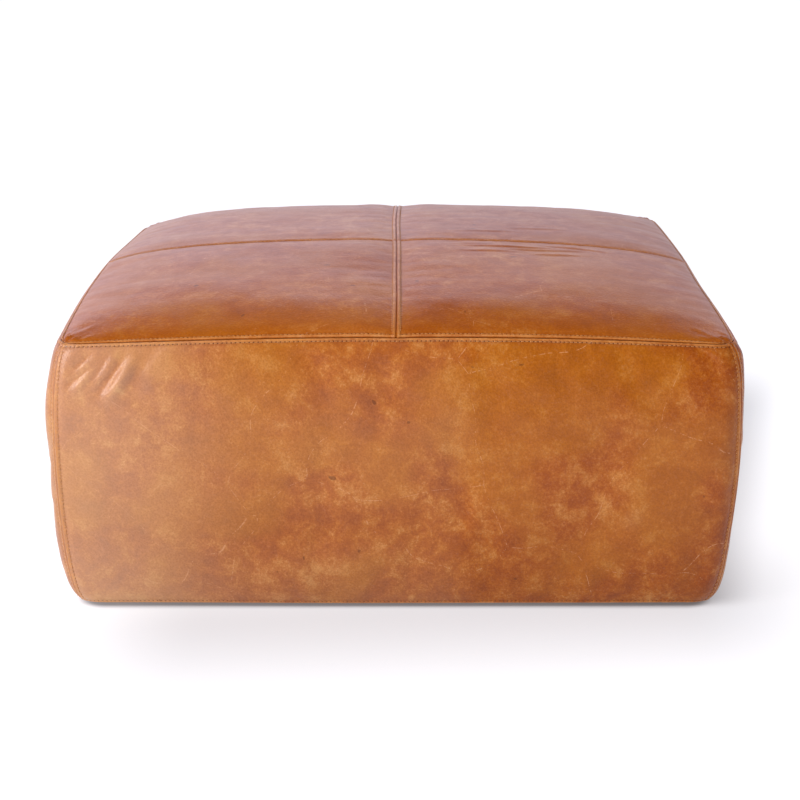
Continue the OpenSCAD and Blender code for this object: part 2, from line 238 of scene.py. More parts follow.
def make_object(name, points, faces):
    """A smooth-shaded object from points and from faces that all have the same number of corners."""
    mesh = bpy.data.meshes.new(name)
    mesh.vertices.add(len(points))
    mesh.vertices.foreach_set("co", np.ascontiguousarray(points, np.float32).ravel())
    corners = faces.shape[1]
    mesh.loops.add(faces.size)
    mesh.loops.foreach_set("vertex_index", np.ascontiguousarray(faces, np.int32).ravel())
    mesh.polygons.add(len(faces))
    mesh.polygons.foreach_set("loop_start", np.arange(0, faces.size, corners, dtype=np.int32))
    mesh.update(calc_edges=True)
    mesh.validate()
    mesh.shade_smooth()
    return linked(name, mesh)


def volume(points, faces):
    a, b, c, d = (points[faces[:, i]] for i in range(4))
    return float((a * np.cross(b, c)).sum() + (a * np.cross(c, d)).sum()) / 6


def facing_out(points, faces):
    """The faces of a closed skin, turned to look outwards."""
    return faces if volume(points, faces) > 0 else faces[:, ::-1]


def around(rows, count):
    """Faces between rings of points, each ring with the same count."""
    index = np.arange(rows * count).reshape(rows, count)
    after = np.roll(index, -1, axis=1)
    return np.stack([index[:-1], after[:-1], after[1:], index[1:]], -1).reshape(-1, 4)


def shell_mesh(outer, inner, loop=False):
    """Points and faces of the closed skin between two grids of points with the same layout."""
    n, m = outer.shape[:2]
    grid = np.arange(n * m).reshape(n, m)
    if loop:
        grid = np.concatenate([grid, grid[:1]])
    under = grid + n * m

    def quads(a, b, c, d):
        return np.stack([a, b, c, d], -1).reshape(-1, 4)

    faces = [
        quads(grid[:-1, :-1], grid[1:, :-1], grid[1:, 1:], grid[:-1, 1:]),
        quads(under[:-1, :-1], under[:-1, 1:], under[1:, 1:], under[1:, :-1]),
        quads(grid[:-1, 0], under[:-1, 0], under[1:, 0], grid[1:, 0]),
        quads(grid[:-1, -1], grid[1:, -1], under[1:, -1], under[:-1, -1]),
    ]
    if not loop:
        faces.append(quads(grid[0, :-1], grid[0, 1:], under[0, 1:], under[0, :-1]))
        faces.append(quads(grid[-1, :-1], under[-1, :-1], under[-1, 1:], grid[-1, 1:]))
    points = np.concatenate([outer.reshape(-1, 3), inner.reshape(-1, 3)])
    return points, facing_out(points, np.concatenate(faces))


def set_values(obj, name, values):
    """Gives each point of a mesh a value, or a vector, that its material can read."""
    values = np.ascontiguousarray(values, np.float32)
    vector = values.ndim > 1
    layer = obj.data.attributes.new(name, "FLOAT_VECTOR" if vector else "FLOAT", "POINT")
    layer.data.foreach_set("vector" if vector else "value", values.ravel())


def set_seam(obj, run, off, cut):
    """Tells the leather where its nearest seam is: distance along it and from it, and the panel's own cut."""
    seam = np.stack([run, off, np.full(run.shape, cut * MM)], -1).reshape(-1, 3) / MM
    set_values(obj, "seam", np.concatenate([seam, seam]))


def finished(obj, node, slot, body="cover"):
    """Puts a piece on its body, in place of its CAD node, with its slot's material."""
    obj.data.materials.clear()
    obj.data.materials.append(SLOTS[slot][1])
    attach(obj, body)
    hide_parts(node)
    return obj


def piece(node, slot, points, faces):
    """A piece of the cover or of its filling."""
    return finished(make_object(f"{node}_{SLOTS[slot][0]}", points, faces), node, slot)


# ---- Panels: grids whose lines lie at known distances from the panel's seams ----

NEAR_SEAM = np.array([0, 0.4, 0.8, 1.2, 1.7, 2.3, 3.0, 3.7, 4.4, 5.0, 5.6, 6.3, 7.3, 8.7, 10.5, 13]) * MM
STEP = 3.6 * MM


def ruler(curve):
    """A function from the distance along a curve to its parameter, and the curve's length."""
    p = (1 - np.cos(np.linspace(0, math.pi, 8001))) / 2
    steps = np.linalg.norm(np.diff(curve(p), axis=0), axis=1)
    length = np.concatenate([[0], np.cumsum(steps)])
    return lambda d: np.interp(d, length, p), length[-1]


def lines(length, step):
    """Distances of grid lines across a panel of this length, close together beside both of its seams."""
    start = NEAR_SEAM[-1]
    count = int((length - 2 * start) / step)
    middle = np.linspace(start, length - start, count + 1)[1:-1]
    return np.concatenate([NEAR_SEAM, middle, length - NEAR_SEAM[::-1]])


def normals(grid, outward):
    """Unit normals of a grid of points, on the side that outward looks to."""
    a, b = np.gradient(grid, axis=0, edge_order=2), np.gradient(grid, axis=1, edge_order=2)
    n = np.cross(a, b)
    n /= np.maximum(np.linalg.norm(n, axis=-1, keepdims=True), 1e-12)
    return n if (n * outward).sum(-1).mean() > 0 else -n


class Panel:
    """A leather panel. Its grid runs across by distance a and up by distance b, both from its own seams.

    The cut moves the panel to its own part of the hide.
    """

    def __init__(self, name, surface, a_size, b_size, quarters, outward, seams, cut):
        self.name, self.surface, self.quarters = name, surface, quarters
        self.a_size, self.b_size = a_size, b_size
        self.outward = turned(np.array(outward, float), quarters)
        self.seams = seams
        self.cut = cut
        self.swell = None

    def place(self, a, b):
        """Points of the panel at distances a and b, as a grid."""
        p = self.surface(*np.meshgrid(a, b, indexing="ij"))
        return turned(p, self.quarters)


SIDE_V, SIDE_H = ruler(lambda v: side_point(np.zeros_like(v), v))
SIDE_W = 2 * reach(SEAM_HALF, CORNER_R)
TOP_S, TOP_W = ruler(lambda s: top_point(s, np.zeros_like(s)))


def side_surface(a, b):
    """The side panels have slipped a little round the filling, most at half height."""
    v = SIDE_V(b)
    return side_point(2 * (a + SLIP * np.sin(math.pi * v) ** 0.7) / SIDE_W - 1, v)


def top_surface(a, b):
    return top_point(TOP_S(a), -TOP_S(b))


SIDES = ["front", "right", "back", "left"]
QUADRANTS = ["front_right", "back_right", "back_left", "front_left"]

# A seam is written (groove depth, ridge height, how strongly shade is painted into its groove, along its
# stitch row and into its stitch holes). Two panels meet flat at the corners and on the top, so the groove is
# cut into them there, while at the perimeter and base they turn in towards each other.
FLAT_SEAM = (0.8 * MM, 0.8 * MM, 0.6)
CORNER_SEAM = (0.4 * MM, 0.4 * MM, 0.15)
CROSS_SEAM = (0.5 * MM, 0.15 * MM, 0.45)
TURNED_SEAM = (0.1 * MM, 0.7 * MM, 1.0)
HIDDEN_SEAM = (0.1 * MM, 0.4 * MM, 0.7)

panels = []
for k, side in enumerate(SIDES):
    seams = {"a0": CORNER_SEAM, "a1": CORNER_SEAM, "b0": HIDDEN_SEAM, "b1": TURNED_SEAM}
    panels.append(Panel(f"{side}_panel", side_surface, SIDE_W, SIDE_H, k, (0, -1, 0), seams, 0.13 + 1.7 * k))
for k, quadrant in enumerate(QUADRANTS):
    # a runs from one centre seam to the perimeter, b from the other
    first, second = (FLAT_SEAM, CROSS_SEAM) if k % 2 == 0 else (CROSS_SEAM, FLAT_SEAM)
    seams = {"a0": first, "a1": TURNED_SEAM, "b0": second, "b1": TURNED_SEAM}
    name, cut = f"top_panel_{quadrant}", 7.9 + 1.3 * k
    panels.append(Panel(name, top_surface, TOP_W, TOP_W, k, (0, 0, 1), seams, cut))


# ---- Cloth simulation: the leather swells against its stitched edges ----

CLOTH_STEP = 10 * MM
CLOTH_FRAMES = 20
# how much of the swelling is kept, once its broad shape has been taken off
SWELL_BLUR = 60
SWELL_CAP = 2.5 * MM
SWELL_GAIN_SIDE = 0.35
SWELL_GAIN_TOP = 0.12


def simulate(panels):
    """Runs every panel as cloth held at its seams, and gives each the distance its skin moves outwards."""
    spans, points, faces, pinned = [], [], [], []
    for panel in panels:
        a = np.linspace(0, panel.a_size, int(panel.a_size / CLOTH_STEP) + 1)
        b = np.linspace(0, panel.b_size, int(panel.b_size / CLOTH_STEP) + 1)
        grid = panel.place(a, b)
        index = np.arange(len(a) * len(b)).reshape(len(a), len(b)) + sum(len(p) for p in points)
        edge = np.zeros_like(index, bool)
        edge[[0, -1], :] = edge[:, [0, -1]] = True
        quads = np.stack([index[:-1, :-1], index[1:, :-1], index[1:, 1:], index[:-1, 1:]], -1)
        quads = quads.reshape(-1, 4)
        i, j = len(a) // 2, len(b) // 2
        facing = np.cross(grid[i + 1, j] - grid[i, j], grid[i, j + 1] - grid[i, j])
        faces.append(quads if facing @ panel.outward > 0 else quads[:, ::-1])
        points.append(grid.reshape(-1, 3))
        pinned.append(index[edge])
        spans.append((panel, a, b, grid))
    obj = make_object("cloth_run", np.concatenate(points), np.concatenate(faces))
    group = obj.vertex_groups.new(name="seams")
    group.add([int(i) for i in np.concatenate(pinned)], 1.0, "REPLACE")
    cloth = obj.modifiers.new("cloth", "CLOTH")
    s = cloth.settings
    s.quality = 6
    s.mass = 0.4
    s.tension_stiffness = 40
    s.compression_stiffness = 40
    s.shear_stiffness = 20
    s.bending_stiffness = 2.0
    s.vertex_group_mass = "seams"
    s.use_pressure = True
    s.uniform_pressure_force = 4
    s.shrink_min = -0.02
    s.effector_weights.gravity = 0
    cloth.point_cache.frame_start, cloth.point_cache.frame_end = 1, CLOTH_FRAMES
    scene = bpy.context.scene
    for f in range(1, CLOTH_FRAMES + 1):
        scene.frame_set(f)
    moved = obj.evaluated_get(bpy.context.evaluated_depsgraph_get()).to_mesh()
    after = np.zeros(len(moved.vertices) * 3, np.float32)
    moved.vertices.foreach_get("co", after)
    after = after.reshape(-1, 3).astype(float)
    scene.frame_set(1)
    start = 0
    for panel, a, b, grid in spans:
        shift = after[start : start + grid.size // 3].reshape(grid.shape) - grid
        start += grid.size // 3
        height = (shift * normals(grid, panel.outward)).sum(-1)
        panel.swell = (a, b, height - blurred(height, SWELL_BLUR))
    bpy.data.objects.remove(obj, do_unlink=True)


def blurred(field, passes):
    """A field with its finer shapes smoothed away."""
    for _ in range(passes):
        padded = np.pad(field, 1, mode="edge")
        field = (padded[:-2, 1:-1] + padded[2:, 1:-1] + padded[1:-1, :-2] + padded[1:-1, 2:]) / 4
    return field


def sampled(a_lines, b_lines, field, a, b):
    """A grid's values at pairs of distances, between its lines."""
    i = np.clip(np.interp(a, a_lines, np.arange(len(a_lines))), 0, len(a_lines) - 1.0001)
    j = np.clip(np.interp(b, b_lines, np.arange(len(b_lines))), 0, len(b_lines) - 1.0001)
    i0, j0 = i.astype(int), j.astype(int)
    u, w = i - i0, j - j0
    if field.ndim > 2:
        u, w = u[..., None], w[..., None]
    low = field[i0, j0] * (1 - w) + field[i0, j0 + 1] * w
    high = field[i0 + 1, j0] * (1 - w) + field[i0 + 1, j0 + 1] * w
    return low * (1 - u) + high * u


simulate(panels)

# ---- Folds that use has pressed into single panels ----

# Each fold, in millimetres and degrees: middle (a, b) on its panel, its direction from the a axis, its
# length, width, height and bend. A negative a or b is measured back from the panel's far edge.
FOLDS = {
    "front_panel": [
        (34, 309, 46, 44, 4.0, 4.4, 4),
        (37, 297, 50, 62, 4.8, 4.6, 6),
        (58, 302, 57, 56, 6.2, 3.6, 8),
        (74, 292, 60, 74, 7.2, 6.2, 9),
        (108, 302, 66, 76, 9.5, 2.2, 6),
        (727, 330, 130, 34, 4.0, 1.5, 9),
        (706, 322, 118, 42, 6.0, 1.3, 7),
        (645, 190, 84, 330, 30.0, 2.4, 14),
        (300, 60, 8, 260, 22.0, 0.8, 12),
        (26, 60, 120, 50, 9.0, 0.9, 6),
        (736, 42, 60, 50, 9.0, 0.9, 6),
    ],
    "top_panel_front_right": [
        (150, 42, 3, 190, 5.0, 1.2, 12),
        (185, 58, -4, 150, 4.5, 1.1, -14),
        (230, 34, 8, 120, 5.0, 1.1, 10),
        (120, 70, 2, 110, 5.0, 0.8, 8),
        (96, 28, -2, 90, 5.0, 0.8, 8),
        (205, 82, -6, 90, 4.5, 0.8, -8),
    ],
    "top_panel_back_right": [
        (60, 120, 88, 120, 6.0, 0.6, 10),
        (90, 190, 84, 100, 6.0, 0.6, 10),
    ],
}
# the perimeter seam gathers the leather of the top a little at every corner
for quadrant in QUADRANTS:
    FOLDS.setdefault(f"top_panel_{quadrant}", []).extend([
        (-20, -12, 48, 30, 2.6, 2.2, 5),
        (-13, -19, 40, 28, 2.4, 2.0, 5),
        (-34, -13, 30, 36, 2.8, 1.0, 4),
        (-13, -34, 60, 36, 2.8, 1.0, 4),
        (-38, -30, 50, 46, 4.2, 0.8, 6),
    ])
for name in ["right_panel", "back_panel", "left_panel"]:
    FOLDS[name] = [
        (50, 325, 60, 50, 6.0, 1.1, 8),
        (84, 318, 62, 50, 7.0, 0.8, 8),
        (706, 325, 120, 48, 6.0, 1.1, 8),
        (680, 318, 116, 48, 7.0, 0.7, 8),
        (40, 52, 122, 50, 9.0, 0.8, 6),
        (720, 52, 58, 50, 9.0, 0.8, 6),
    ]


# beside each fold lies a dip: its depth as a share of the fold's height, its place in widths of the fold
FOLD_DIP = 0.55
FOLD_DIP_AT = 1.7
FOLD_TAPER = 1.5


def folds(panel, a, b):
    """Height of the pressed folds of a panel at distances a and b."""
    total = np.zeros(a.shape)
    for x, y, angle, length, width, height, bend in FOLDS.get(panel.name, []):
        x = x if x > 0 else panel.a_size / MM + x
        y = y if y > 0 else panel.b_size / MM + y
        q = math.radians(angle)
        p = (a / MM - x) * math.cos(q) + (b / MM - y) * math.sin(q)
        w = (b / MM - y) * math.cos(q) - (a / MM - x) * math.sin(q) - bend * (p / length) ** 2
        ends = np.clip(1 - (2 * p / length) ** 2, 0, 1) ** FOLD_TAPER
        dip = FOLD_DIP * np.exp(-((w / width - FOLD_DIP_AT) ** 2))
        profile = np.exp(-((w / width) ** 2)) - dip
        total += height * MM * ends * profile
    return total


GROOVE_W = 0.75 * MM
RIDGE_RISE = (0.3 * MM, 1.9 * MM)
RIDGE_FALL = (3.6 * MM, 6.2 * MM)
ROW_DIP = 0.28 * MM
ROW_DIP_W = 0.9 * MM
ROW_DIP_AT = ROW_OFFSET + 0.3 * MM


def seam_relief(w, seam):
    """Height of the leather at distance w from a seam: a groove, the ridge of the folded edge, and a dip."""
    groove, ridge, _ = seam
    cut = -groove * np.exp(-((w / GROOVE_W) ** 2))
    fold = ridge * smooth(w, *RIDGE_RISE) * (1 - smooth(w, *RIDGE_FALL))
    dip = -ROW_DIP * np.exp(-(((w - ROW_DIP_AT) / ROW_DIP_W) ** 2))
    return cut + fold + dip


# waxed leather turns paler where it is pulled over a fold, and this also paints a highlight on each fold and
# shade in the dips beside it: this much for each millimetre of the fold's height
PULL_UP_AND_FOLD_SHADING = 0.035
# use has polished the top towards an even gold by this share, and by more along its rim
POLISHED_TOP = 0.25
POLISHED_RIM = 0.5
POLISHED_RIM_W = 90 * MM


def paleness(panel, points, a, b):
    """How much paler a panel is painted, up to 1, or darker, down to -1: random tone, with painted light and
    shade.
    """
    if panel.name != "front_panel":
        tone = -0.06 + 0.10 * waves(points, 0.35, 41 + int(panel.cut * 10))
        if panel.name == "left_panel":
            # a painted highlight on the left panel towards its front corner
            tone = tone + 0.5 * smooth(a, SIDE_W - 0.26, SIDE_W - 0.02)
        return np.clip(tone, -1, 1)
    tone = 0.04 + 0.08 * waves(points, 0.3, 45)
    # a painted highlight towards the left edge, and paler again along the bottom
    tone += 0.58 * (1 - smooth(a, 0.02, 0.25)) + 0.14 * (1 - smooth(b, 0.0, 0.12))
    # a broken painted highlight on the lit side of a soft fold, leaning to the right as it rises
    band = (a - 0.645 - 0.30 * (b - 0.15)) / 0.045
    tone += 0.14 * np.exp(-(band**2)) * (1 + waves(points, 0.06, 46)) * smooth(b, 0.0, 0.1)
    # painted shade: darker in the right half, and darkest, in blotches, by the right edge where the panel
    # turns away round the corner
    tone -= 0.32 * smooth(a, 0.42, 0.55)
    tone -= (0.42 + 0.3 * waves(points, 0.11, 47)) * smooth(a, 0.67, 0.76)
    return np.clip(tone, -1, 1)


# small unevenness of the leather between its seams
RIPPLE_SIDE = 0.9 * MM
RIPPLE_TOP = 0.35 * MM
RIPPLE_LENGTH = 0.09
FINE_RIPPLE = 0.25
FINE_RIPPLE_LENGTH = 0.035


def panel_piece(panel):
    """Builds a panel's closed skin and keeps its outer grid for the stitches."""
    a, b = lines(panel.a_size, STEP), lines(panel.b_size, STEP)
    base = panel.place(a, b)
    n = normals(base, panel.outward)
    A, B = np.meshgrid(a, b, indexing="ij")
    edges = {"a0": A, "a1": panel.a_size - A, "b0": B, "b1": panel.b_size - B}
    nearest = np.minimum.reduce(list(edges.values()))
    relief = np.zeros(A.shape)
    for edge, seam in panel.seams.items():
        relief += seam_relief(edges[edge], seam)
    on_side = panel.surface is side_surface
    loose = smooth(nearest, 2 * MM, 22 * MM) * (RIPPLE_SIDE if on_side else RIPPLE_TOP)
    relief += loose * waves(base, RIPPLE_LENGTH, 11)
    relief += loose * FINE_RIPPLE * waves(base, FINE_RIPPLE_LENGTH, 12)
    if panel.swell is not None:
        swell = (SWELL_GAIN_SIDE if on_side else SWELL_GAIN_TOP) * sampled(*panel.swell, A, B)
        relief += np.clip(swell, -SWELL_CAP, SWELL_CAP) * smooth(nearest, 0, 8 * MM)
    pressed = folds(panel, A, B) * smooth(nearest, 3 * MM, 12 * MM)
    relief += pressed
    outer = base + n * relief[..., None]
    inner = base - n * (LEATHER_T + np.maximum(0, -relief))[..., None]
    panel.a, panel.b, panel.grid, panel.normal = a, b, settled(outer), n
    obj = piece(panel.name, "leather", *shell_mesh(panel.grid, settled(inner)))
    # the nearest seam, and how strongly shade is painted beside it
    run, seam_shading = np.zeros(A.shape), np.zeros(A.shape)
    for edge, w in edges.items():
        run = np.where(w == nearest, B if edge[0] == "a" else A, run)
        seam_shading = np.where(w == nearest, panel.seams[edge][2], seam_shading)
    set_seam(obj, run, nearest, panel.cut)
    # random tone, painted light and shade, and each fold's pull-up with a painted highlight on its crest and
    # painted shade beside it
    pale = np.clip(paleness(panel, base, A, B) + PULL_UP_AND_FOLD_SHADING * pressed / MM, -1, 1).ravel()
    set_values(obj, "pale", np.concatenate([pale, pale]))
    set_values(obj, "seam_shading", np.tile(seam_shading.ravel(), 2))
    if not on_side:
        rim = 1 - smooth(np.minimum(edges["a1"], edges["b1"]), 0, POLISHED_RIM_W)
        polished = POLISHED_TOP + (POLISHED_RIM - POLISHED_TOP) * rim
        set_values(obj, "polished", np.tile(polished.ravel(), 2))


# ---- Node trees ----


def feed(tree, node, inputs):
    """Gives a node its inputs, by name or number: values, or other nodes' outputs to link."""
    for key, value in dict(inputs).items():
        if isinstance(value, bpy.types.NodeSocket):
            tree.links.new(value, node.inputs[key])
        else:
            node.inputs[key].default_value = value


def add(tree, kind, inputs=(), **settings):
    node = tree.nodes.new(kind)
    for key, value in settings.items():
        setattr(node, key, value)
    feed(tree, node, inputs)
    return node


def value_of(node):
    """A node's first output that is switched on."""
    return next(o for o in node.outputs if o.enabled)


def math_node(tree, operation, *values):
    return value_of(add(tree, "ShaderNodeMath", dict(enumerate(values)), operation=operation))


def product(tree, first, *others):
    for value in others:
        first = math_node(tree, "MULTIPLY", first, value)
    return first


def weighted_sum(tree, *terms):
    """The sum of terms, each written (value, weight)."""
    total = 0.0
    for value, weight in terms:
        total = math_node(tree, "MULTIPLY_ADD", value, weight, total)
    return total


def remap(tree, value, lo, hi, to_lo=0.0, to_hi=1.0, kind="SMOOTHSTEP"):
    inputs = dict(enumerate((value, lo, hi, to_lo, to_hi)))
    return value_of(add(tree, "ShaderNodeMapRange", inputs, interpolation_type=kind))


def between(tree, value, rise, fall):
    """1 from the end of the rise to the start of the fall, and 0 beyond both."""
    return product(tree, remap(tree, value, *rise), remap(tree, value, *fall, 1.0, 0.0))


def mixed(tree, factor, a, b, blend="MIX"):
    settings = {"data_type": "RGBA", "blend_type": blend, "clamp_factor": True}
    return add(tree, "ShaderNodeMix", {0: factor, 6: a, 7: b}, **settings).outputs[2]


def noise(tree, vector, scale, detail=3.0, roughness=0.5, distortion=0.0):
    inputs = {"Vector": vector, "Scale": scale, "Detail": detail, "Roughness": roughness}
    return value_of(add(tree, "ShaderNodeTexNoise", {**inputs, "Distortion": distortion}))


def vector_math(tree, operation, inputs):
    return add(tree, "ShaderNodeVectorMath", inputs, operation=operation).outputs[0]


def attribute(tree, name, output="Fac"):
    """The values that a mesh holds for its points under this name."""
    return add(tree, "ShaderNodeAttribute", attribute_name=name).outputs[output]


def new_material(name):
    material = bpy.data.materials.new(name)
    material.use_nodes = True
    tree = material.node_tree
    shader = tree.nodes["Principled BSDF"]
    where = add(tree, "ShaderNodeTexCoord").outputs["Object"]
    return material, tree, shader, where


def hexed(code):
    """A linear colour from a screen colour such as b46b39."""
    parts = [int(code[i : i + 2], 16) / 255 for i in (0, 2, 4)]
    return (*[p / 12.92 if p <= 0.04045 else ((p + 0.055) / 1.055) ** 2.4 for p in parts], 1)


def ramp(tree, value, *stops):
    """A colour ramp through stops of (position, screen colour)."""
    node = add(tree, "ShaderNodeValToRGB", {0: value})
    elements = node.color_ramp.elements
    while len(elements) < len(stops):
        elements.new(0.5)
    for element, (position, code) in zip(elements, stops):
        element.position, element.color = position, hexed(code)
    return node.outputs[0]


def bump(tree, height, distance, strength=1.0):
    inputs = {"Height": height, "Distance": distance, "Strength": strength}
    return add(tree, "ShaderNodeBump", inputs).outputs["Normal"]


TAN = [(0.38, "924508"), (0.46, "a04f08"), (0.52, "a95609"), (0.58, "b56415"), (0.68, "ca853f")]
GOLD = "b86f12"
POLISH = "ba640d"
SCRATCH = "e0ab80"
SCAR = "5a2a0c"
RIDGE_WORN_AND_LIT = "cf8c4e"
ROW_SHADE = "8a4413"
GROOVE = "6a300e"
HOLE = "421b05"
# linear colours that lighten by screening or darken by multiplying
PALE_LIGHT = (0.40, 0.27, 0.19, 1)
PALE_DARK = (0.72, 0.55, 0.30, 1)
PORE = (0.70, 0.60, 0.48, 1)
FIBRE_AND_GLINT = (0.40, 0.34, 0.30, 1)


def waxed(tree, bent, wander, patches, speckle, pebbles):
    """The colour of the hide: clouds, patches, cells and specks, then random tone with painted light and
    shade, the pores, and pale specks of fibres and painted glints.
    """
    clouds, hue, _ = add(tree, "ShaderNodeSeparateXYZ", {0: wander}).outputs
    cells = add(tree, "ShaderNodeTexVoronoi", {"Vector": bent, "Scale": 30.0}).outputs["Distance"]
    tone = weighted_sum(tree, (clouds, 0.16), (patches, 0.52), (cells, 0.14), (speckle, 0.26))
    colour = mixed(tree, remap(tree, hue, 0.46, 0.62, 0.0, 0.45), ramp(tree, tone, *TAN), hexed(GOLD))
    colour = mixed(tree, attribute(tree, "polished"), colour, hexed(POLISH))
    # random tone, with painted highlights and painted shade, given by each panel
    pale = attribute(tree, "pale")
    colour = mixed(tree, pale, colour, PALE_LIGHT, blend="SCREEN")
    colour = mixed(tree, product(tree, pale, -1.0), colour, PALE_DARK, blend="MULTIPLY")
    pores = remap(tree, pebbles, 0.15, 0.75, 0.42, 0.0)
    pores = product(tree, pores, remap(tree, pale, 0.0, 1.0, 1.0, 0.4))
    colour = mixed(tree, pores, colour, PORE, blend="MULTIPLY")
    # fine pale specks: fibres of the grain and painted glints of sheen
    return mixed(tree, remap(tree, speckle, 0.5, 0.7, 0.0, 0.07), colour, FIBRE_AND_GLINT, blend="SCREEN")


def scratched(tree, colour, bent, patches):
    """Scratches are thin broken lines, lighter than the wax round them, and scars are small dark spots."""
    edges = add(tree, "ShaderNodeTexVoronoi", {"Vector": bent, "Scale": 6.0}, feature="DISTANCE_TO_EDGE")
    thin = remap(tree, edges.outputs["Distance"], 0.0, 0.0032, 1.0, 0.0)
    broken = remap(tree, math_node(tree, "FRACT", product(tree, patches, 5.0)), 0.5, 0.75)
    colour = mixed(tree, product(tree, thin, broken, 0.5), colour, hexed(SCRATCH))
    scars = remap(tree, noise(tree, bent, 75.0, 0.0, 0.5), 0.86, 0.88)
    return mixed(tree, product(tree, scars, 0.55), colour, hexed(SCAR))


def seamed(tree, colour, off, along_hole, across_hole, patches):
    """Along a seam: lighter on the ridges by worn wax and a painted highlight, painted shade in the groove,
    along the stitch row and in the holes. Distances in mm.
    """
    seam_shading = attribute(tree, "seam_shading")
    # lighter on the ridge: worn wax and a painted highlight
    ridge = between(tree, off, (1.0, 2.2), (3.0, 5.0))
    worn_and_lit = product(tree, ridge, remap(tree, patches, 0.35, 0.65, 0.25, 0.75))
    colour = mixed(tree, worn_and_lit, colour, hexed(RIDGE_WORN_AND_LIT))
    # painted shade in the dip along the stitch row
    shade = between(tree, off, (4.4, 5.4), (5.6, 9.5))
    colour = mixed(tree, product(tree, shade, seam_shading, 0.25), colour, hexed(ROW_SHADE))
    # painted shade in the groove
    groove = remap(tree, off, 0.1, 0.6, 1.0, 0.0)
    colour = mixed(tree, product(tree, groove, seam_shading, 0.75), colour, hexed(GROOVE))
    # painted shade in the stitch holes
    squares = [math_node(tree, "POWER", value, 2.0) for value in (along_hole, across_hole)]
    hole = remap(tree, math_node(tree, "ADD", *squares), 0.2, 0.8, 1.0, 0.0)
    return mixed(tree, product(tree, hole, seam_shading, 0.8), colour, hexed(HOLE))


def leather_material():
    """Waxed aniline leather: cloudy tan, fine grain, light scratches, painted shade in the grooves, ridges
    lighter by wear and a painted highlight.
    """
    material, tree, shader, where = new_material("waxed_leather")
    run, off, cut = add(tree, "ShaderNodeSeparateXYZ", {0: attribute(tree, "seam", "Vector")}).outputs
    # every panel is cut from another part of the hide
    shift = add(tree, "ShaderNodeCombineXYZ", {0: cut, 1: cut, 2: cut}).outputs[0]
    hide = vector_math(tree, "ADD", {0: where, 1: shift})
    wander = add(tree, "ShaderNodeTexNoise", {"Vector": hide, "Scale": 9.0, "Detail": 1.0}).outputs["Color"]
    bent = vector_math(tree, "ADD", {0: hide, 1: vector_math(tree, "SCALE", {0: wander, "Scale": 0.06})})
    patches = noise(tree, hide, 50.0, 5.0, 0.72, 0.35)
    speckle = noise(tree, hide, 300.0, 3.0, 0.85)
    pebbles = add(tree, "ShaderNodeTexVoronoi", {"Vector": where, "Scale": 400.0}).outputs["Distance"]
    # the nearest stitch hole, as distances along and across the row in millimetres
    pitch = STITCH_PITCH / MM
    step = math_node(tree, "FRACT", math_node(tree, "DIVIDE", run, pitch))
    along_hole = product(tree, math_node(tree, "SUBTRACT", step, 0.5), pitch)
    across_hole = math_node(tree, "SUBTRACT", off, ROW_OFFSET / MM)
    colour = waxed(tree, bent, wander, patches, speckle, pebbles)
    colour = scratched(tree, colour, bent, patches)
    colour = seamed(tree, colour, off, along_hole, across_hole, patches)
    # grain, creases and the pucker of the stitches, as heights in millimetres
    crease = noise(tree, hide, 85.0, 2.0, 0.65, 0.6)
    pull = remap(tree, math_node(tree, "ABSOLUTE", across_hole), 0.0, 3.0, 1.0, 0.0)
    lift = math_node(tree, "COSINE", product(tree, along_hole, 2 * math.pi / pitch))
    pucker = product(tree, pull, lift)
    height = weighted_sum(tree, (pebbles, -0.16), (speckle, 0.18), (crease, 0.22), (pucker, -0.17))
    feed(tree, shader, {
        "Base Color": colour,
        "Roughness": remap(tree, patches, 0.3, 0.7, 0.33, 0.28, kind="LINEAR"),
        "Specular IOR Level": 0.32,
        "Normal": bump(tree, height, MM),
    })
    return material


def plain_material(name, colour, second, scale, roughness, grain, depth, metallic=0.0, sheen=0.0):
    """A material of two colours mixed by noise, with a fine grain of a depth in millimetres."""
    material, tree, shader, where = new_material(name)
    tone = noise(tree, where, scale, 4.0, 0.6)
    feed(tree, shader, {
        "Base Color": ramp(tree, tone, (0.35, colour), (0.65, second)),
        "Roughness": remap(tree, tone, 0.3, 0.7, roughness, roughness * 0.8),
        "Normal": bump(tree, noise(tree, where, grain), depth * MM),
        "Metallic": metallic,
        "Sheen Weight": sheen,
    })
    return material


def woven_material(name, colour, second, pitch):
    """A woven cloth: two sets of threads that cross over and under each other."""
    material, tree, shader, where = new_material(name)
    split = add(tree, "ShaderNodeSeparateXYZ", {0: where}).outputs
    threads = [math_node(tree, "SINE", product(tree, split[axis], 2 * math.pi / pitch)) for axis in (0, 1)]
    weave = product(tree, *threads)
    tone = math_node(tree, "ADD", product(tree, weave, 0.25), noise(tree, where, 90.0))
    feed(tree, shader, {
        "Base Color": ramp(tree, tone, (0.3, colour), (0.7, second)),
        "Roughness": 0.85,
        "Normal": bump(tree, weave, 0.2 * MM, 0.6),
        "Sheen Weight": 0.3,
    })
    return material


BRASS = plain_material("antique_brass", "8a6a35", "b08d52", 260.0, 0.32, 1500.0, 0.04, metallic=1.0)
FIBRE_FILL = plain_material("polyester_wadding", "e9e7e2", "f7f6f3", 60.0, 0.95, 500.0, 1.2, sheen=0.5)
